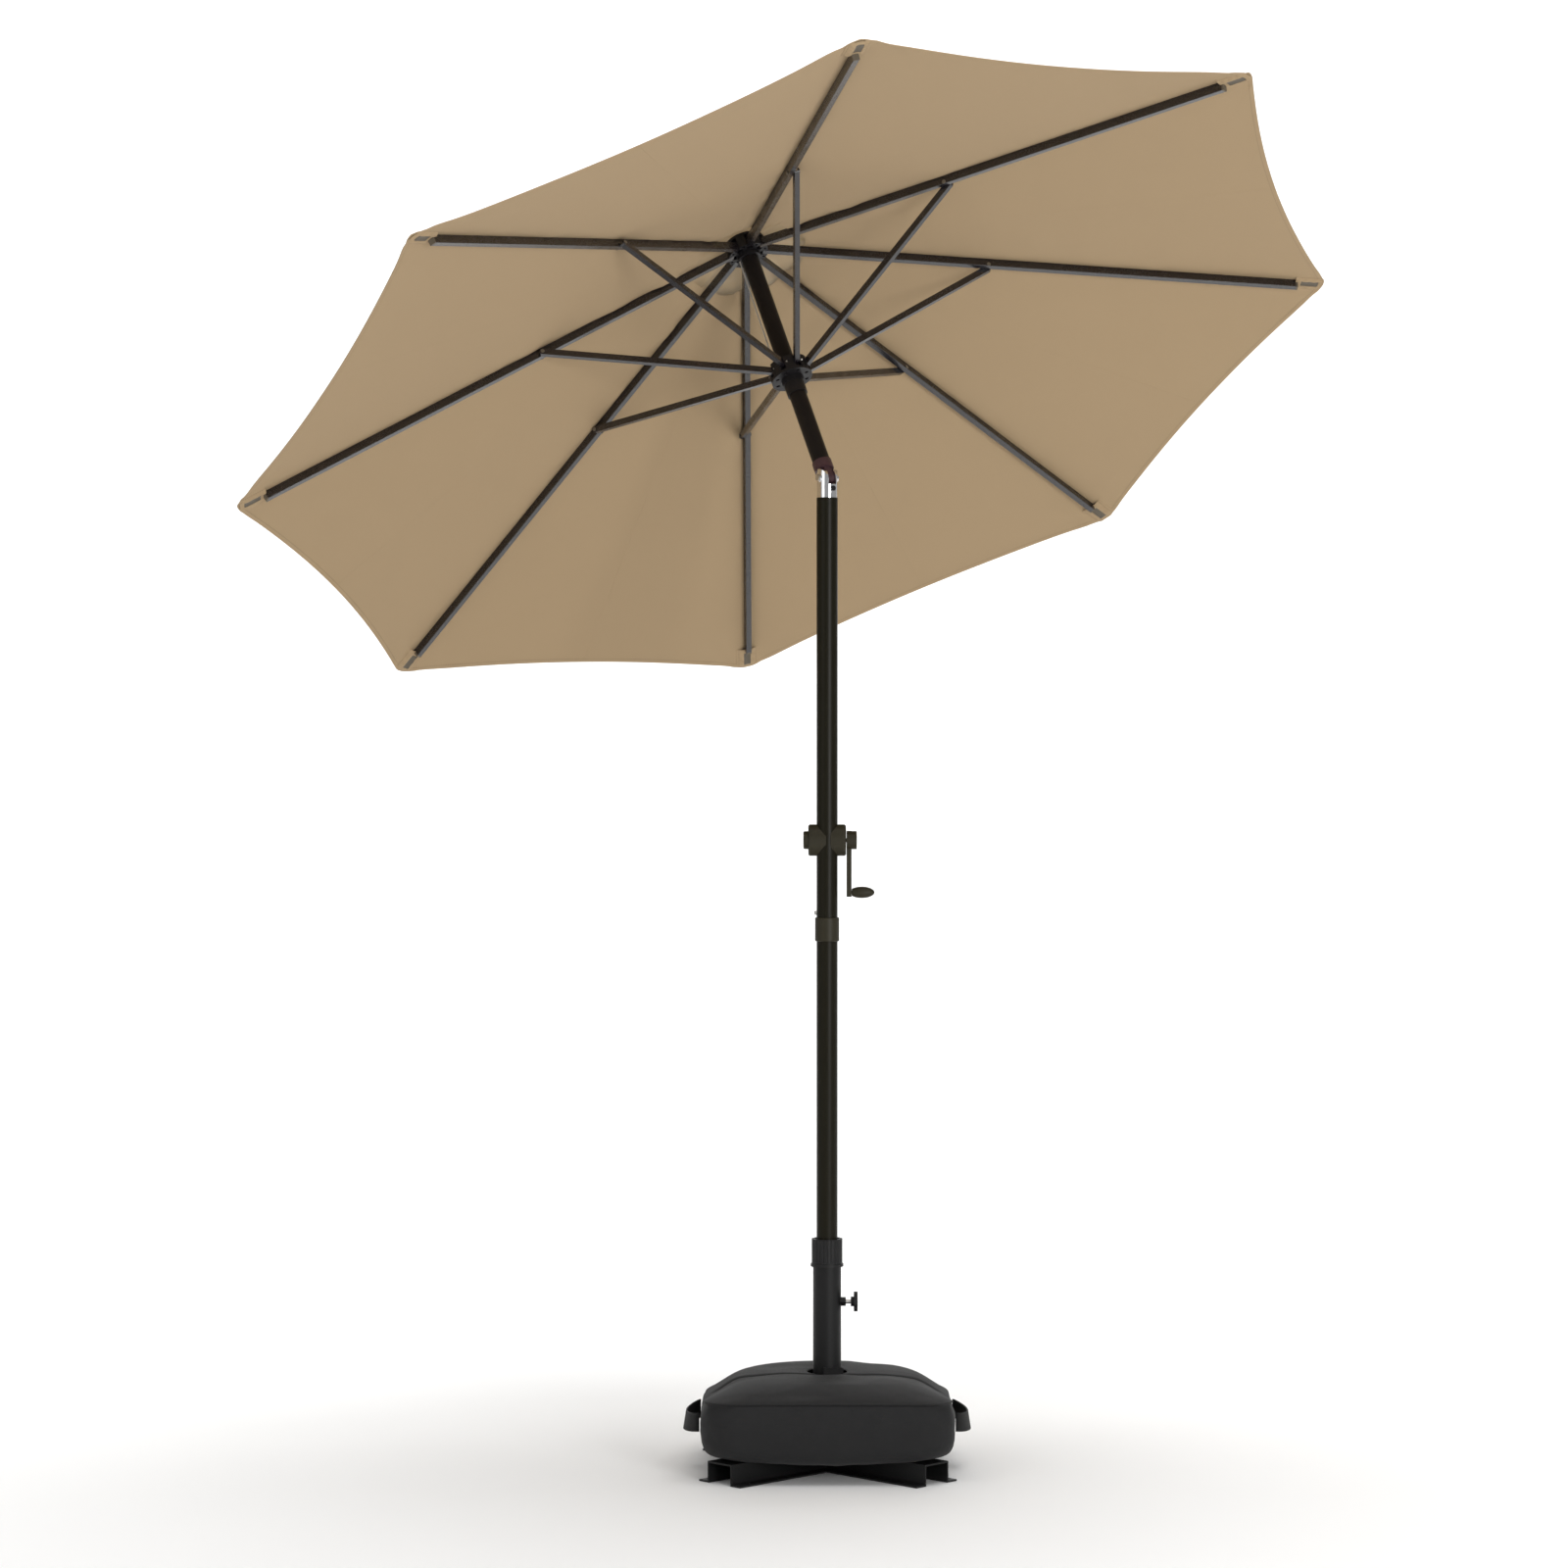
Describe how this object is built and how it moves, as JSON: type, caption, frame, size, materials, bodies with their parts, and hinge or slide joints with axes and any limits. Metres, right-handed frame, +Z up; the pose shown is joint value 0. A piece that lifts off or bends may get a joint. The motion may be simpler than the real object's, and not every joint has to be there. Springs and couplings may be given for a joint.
{
  "type": "patio umbrella with base",
  "caption": "Tilting market umbrella with crank lift, fabric canopy on folding ribs, standing in a weighted square bag base on a crossed steel frame.",
  "frame": {"origin": "on the floor, under the axis of the upright pole, in the plane of the feet", "axes": "+Z up along the pole, +X towards the crank handle and the clamp knob, -Y towards the viewer of the open underside"},
  "size_m": [1.9771, 1.8232, 2.4436],
  "materials": {
    "canopy_cloth": "woven polyester, matte",
    "rib_steel": "powder coated, satin",
    "rib_fittings": "moulded tips with steel rivets, satin",
    "black_plastic": "moulded, satin",
    "pins": "bright rivets",
    "collar_plastic": "moulded, satin",
    "knuckle_chrome": "plated",
    "pole_steel": "powder coated bronze, satin",
    "crank_plastic": "moulded, satin",
    "cord": "braided",
    "base_steel": "powder coated black",
    "base_plastic": "moulded black",
    "bag_cloth": "coated woven cloth",
    "sand": "dry sand"
  },
  "bodies": {
    "base": {"cross_frame": "base_steel", "socket_tube": "base_steel", "socket_cap": "base_plastic", "weight_bag": "bag_cloth", "sand_fill": "sand", "bag_handles": "bag_cloth"},
    "clamp_screw": {"clamp_stud": "pins"},
    "clamp_knob": {"clamp_knob": "base_plastic"},
    "foot": {"pole_foot": "black_plastic"},
    "pole": {"lower_pole": "pole_steel", "pole_coupler": "crank_plastic", "upper_pole": "pole_steel", "crank_housing": "crank_plastic", "tilt_knuckle": "knuckle_chrome"},
    "snap_button": {"snap_button": "pins"},
    "tilt_button": {"tilt_button": "crank_plastic"},
    "crank": {"crank_arm": "crank_plastic", "cord_spool": "crank_plastic"},
    "grip": {"crank_grip": "crank_plastic"},
    "mast": {"upper_mast": "rib_steel", "tilt_collar": "collar_plastic", "mast_pins": "pins", "crown_hub": "black_plastic", "finial": "black_plastic", "vent_canopy": "canopy_cloth", "hoist_cord": "cord"},
    "runner": {"runner": "black_plastic", "runner_pins": "pins"},
    "rib_1": {"rib_1": "rib_steel", "rib_fittings_1": "rib_fittings", "canopy_1": "canopy_cloth"},
    "strut_1": {"strut_1": "rib_steel"},
    "rib_2": {"rib_2": "rib_steel", "rib_fittings_2": "rib_fittings", "canopy_2": "canopy_cloth"},
    "strut_2": {"strut_2": "rib_steel"},
    "rib_3": {"rib_3": "rib_steel", "rib_fittings_3": "rib_fittings", "canopy_3": "canopy_cloth"},
    "strut_3": {"strut_3": "rib_steel"},
    "rib_4": {"rib_4": "rib_steel", "rib_fittings_4": "rib_fittings", "canopy_4": "canopy_cloth"},
    "strut_4": {"strut_4": "rib_steel"},
    "rib_5": {"rib_5": "rib_steel", "rib_fittings_5": "rib_fittings", "canopy_5": "canopy_cloth"},
    "strut_5": {"strut_5": "rib_steel"},
    "rib_6": {"rib_6": "rib_steel", "rib_fittings_6": "rib_fittings", "canopy_6": "canopy_cloth"},
    "strut_6": {"strut_6": "rib_steel"},
    "rib_7": {"rib_7": "rib_steel", "rib_fittings_7": "rib_fittings", "canopy_7": "canopy_cloth"},
    "strut_7": {"strut_7": "rib_steel"},
    "rib_8": {"rib_8": "rib_steel", "rib_fittings_8": "rib_fittings", "canopy_8": "canopy_cloth"},
    "strut_8": {"strut_8": "rib_steel"}
  },
  "joints": [
    {"name": "clamp_screw_advance", "type": "slide", "parent": "base", "child": "clamp_screw", "axis": [1, 0, 0], "range_m": [0, 0.0025]},
    {"name": "clamp_knob_turn", "type": "hinge", "parent": "clamp_screw", "child": "clamp_knob", "pos_m": [0.045, 0, 0.296], "axis": [1, 0, 0], "range_deg": [0, 720]},
    {"name": "pole_lift", "type": "slide", "parent": "base", "child": "foot", "axis": [0, 0, 1], "range_m": [0, 0.375]},
    {"name": "pole_swivel", "type": "hinge", "parent": "foot", "child": "pole", "pos_m": [0, 0, 0.042], "axis": [0, 0, 1], "continuous": true},
    {"name": "tilt", "type": "hinge", "parent": "pole", "child": "mast", "pos_m": [0, 0, 1.78], "axis": [-0.8271, -0.5621, 0], "range_deg": [-31, 0], "deforming": ["hoist_cord"]},
    {"name": "snap_button_press", "type": "slide", "parent": "pole", "child": "snap_button", "axis": [1, 0, 0], "range_m": [0, 0.004], "stiffness_N_per_m": 400, "springref_m": -0.002},
    {"name": "tilt_button_press", "type": "slide", "parent": "pole", "child": "tilt_button", "axis": [-0.5621, 0.8271, 0], "range_m": [0, 0.0022], "stiffness_N_per_m": 600, "springref_m": -0.002},
    {"name": "canopy_fold", "type": "hinge", "parent": "mast", "child": "rib_1", "pos_m": [-0.14348, 0.18788, 2.22849], "axis": [0.9524, 0.2175, 0.2136], "range_deg": [0, 10.5], "deforming": ["canopy_1", "canopy_2", "canopy_3", "canopy_4", "canopy_5", "canopy_6", "canopy_7", "canopy_8", "hoist_cord"]},
    {"name": "strut_1_fold", "type": "hinge", "parent": "rib_1", "child": "strut_1", "pos_m": [-0.05614, -0.21751, 2.30053], "axis": [0.9524, 0.2175, 0.2136], "range_deg": [-21, 0]},
    {"name": "rib_2_fold", "type": "hinge", "parent": "mast", "child": "rib_2", "pos_m": [-0.12314, 0.20083, 2.22892], "axis": [0.606, 0.7748, -0.1804], "range_deg": [0, 10.5]},
    {"name": "strut_2_fold", "type": "hinge", "parent": "rib_2", "child": "strut_2", "pos_m": [0.21757, -0.03514, 2.30234], "axis": [0.606, 0.7748, -0.1804], "range_deg": [-21, 0]},
    {"name": "rib_3_fold", "type": "hinge", "parent": "mast", "child": "rib_3", "pos_m": [-0.11648, 0.2224, 2.22045], "axis": [-0.0954, 0.8782, -0.4687], "range_deg": [0, 10.5]},
    {"name": "strut_3_fold", "type": "hinge", "parent": "rib_3", "child": "strut_3", "pos_m": [0.30113, 0.26008, 2.18384], "axis": [-0.0954, 0.8782, -0.4687], "range_deg": [-21, 0]},
    {"name": "rib_4_fold", "type": "hinge", "parent": "mast", "child": "rib_4", "pos_m": [-0.1274, 0.23995, 2.20804], "axis": [-0.7409, 0.4672, -0.4824], "range_deg": [0, 10.5]},
    {"name": "strut_4_fold", "type": "hinge", "parent": "rib_4", "child": "strut_4", "pos_m": [0.14558, 0.49523, 2.01445], "axis": [-0.7409, 0.4672, -0.4824], "range_deg": [-21, 0]},
    {"name": "rib_5_fold", "type": "hinge", "parent": "mast", "child": "rib_5", "pos_m": [-0.14949, 0.24321, 2.19896], "axis": [-0.9524, -0.2175, -0.2136], "range_deg": [0, 10.5]},
    {"name": "strut_5_fold", "type": "hinge", "parent": "rib_5", "child": "strut_5", "pos_m": [-0.15795, 0.53255, 1.89339], "axis": [-0.9524, -0.2175, -0.2136], "range_deg": [-21, 0]},
    {"name": "rib_6_fold", "type": "hinge", "parent": "mast", "child": "rib_6", "pos_m": [-0.16982, 0.23026, 2.19853], "axis": [-0.606, -0.7748, 0.1804], "range_deg": [0, 10.5]},
    {"name": "strut_6_fold", "type": "hinge", "parent": "rib_6", "child": "strut_6", "pos_m": [-0.43167, 0.35018, 1.89158], "axis": [-0.606, -0.7748, 0.1804], "range_deg": [-21, 0]},
    {"name": "rib_7_fold", "type": "hinge", "parent": "mast", "child": "rib_7", "pos_m": [-0.17649, 0.20869, 2.207], "axis": [0.0954, -0.8782, 0.4687], "range_deg": [0, 10.5]},
    {"name": "strut_7_fold", "type": "hinge", "parent": "rib_7", "child": "strut_7", "pos_m": [-0.51523, 0.05495, 2.01008], "axis": [0.0954, -0.8782, 0.4687], "range_deg": [-21, 0]},
    {"name": "rib_8_fold", "type": "hinge", "parent": "mast", "child": "rib_8", "pos_m": [-0.16557, 0.19114, 2.21941], "axis": [0.7409, -0.4672, 0.4824], "range_deg": [0, 10.5]},
    {"name": "strut_8_fold", "type": "hinge", "parent": "rib_8", "child": "strut_8", "pos_m": [-0.35968, -0.18019, 2.17947], "axis": [0.7409, -0.4672, 0.4824], "range_deg": [-21, 0]},
    {"name": "runner_travel", "type": "hinge", "parent": "strut_1", "child": "runner", "pos_m": [-0.0547, 0.07409, 1.99718], "axis": [0.9524, 0.2175, 0.2136], "range_deg": [0, 10.5]},
    {"name": "crank_turn", "type": "hinge", "parent": "pole", "child": "crank", "pos_m": [0.04, 0, 1.128], "axis": [1, 0, 0], "range_deg": [0, 608.7]},
    {"name": "grip_spin", "type": "hinge", "parent": "crank", "child": "grip", "pos_m": [0.06, 0, 1.034], "axis": [1, 0, 0], "continuous": true}
  ],
  "couplings": [
    {"joint": "clamp_screw_advance", "follows": "clamp_knob_turn", "m_per_rad": 0.00019894},
    {"joint": "strut_1_fold", "follows": "canopy_fold", "ratio": -2},
    {"joint": "rib_2_fold", "follows": "canopy_fold", "ratio": 1},
    {"joint": "strut_2_fold", "follows": "canopy_fold", "ratio": -2},
    {"joint": "rib_3_fold", "follows": "canopy_fold", "ratio": 1},
    {"joint": "strut_3_fold", "follows": "canopy_fold", "ratio": -2},
    {"joint": "rib_4_fold", "follows": "canopy_fold", "ratio": 1},
    {"joint": "strut_4_fold", "follows": "canopy_fold", "ratio": -2},
    {"joint": "rib_5_fold", "follows": "canopy_fold", "ratio": 1},
    {"joint": "strut_5_fold", "follows": "canopy_fold", "ratio": -2},
    {"joint": "rib_6_fold", "follows": "canopy_fold", "ratio": 1},
    {"joint": "strut_6_fold", "follows": "canopy_fold", "ratio": -2},
    {"joint": "rib_7_fold", "follows": "canopy_fold", "ratio": 1},
    {"joint": "strut_7_fold", "follows": "canopy_fold", "ratio": -2},
    {"joint": "rib_8_fold", "follows": "canopy_fold", "ratio": 1},
    {"joint": "strut_8_fold", "follows": "canopy_fold", "ratio": -2},
    {"joint": "runner_travel", "follows": "canopy_fold", "ratio": 1},
    {"joint": "crank_turn", "follows": "canopy_fold", "ratio": 57.878}
  ]
}
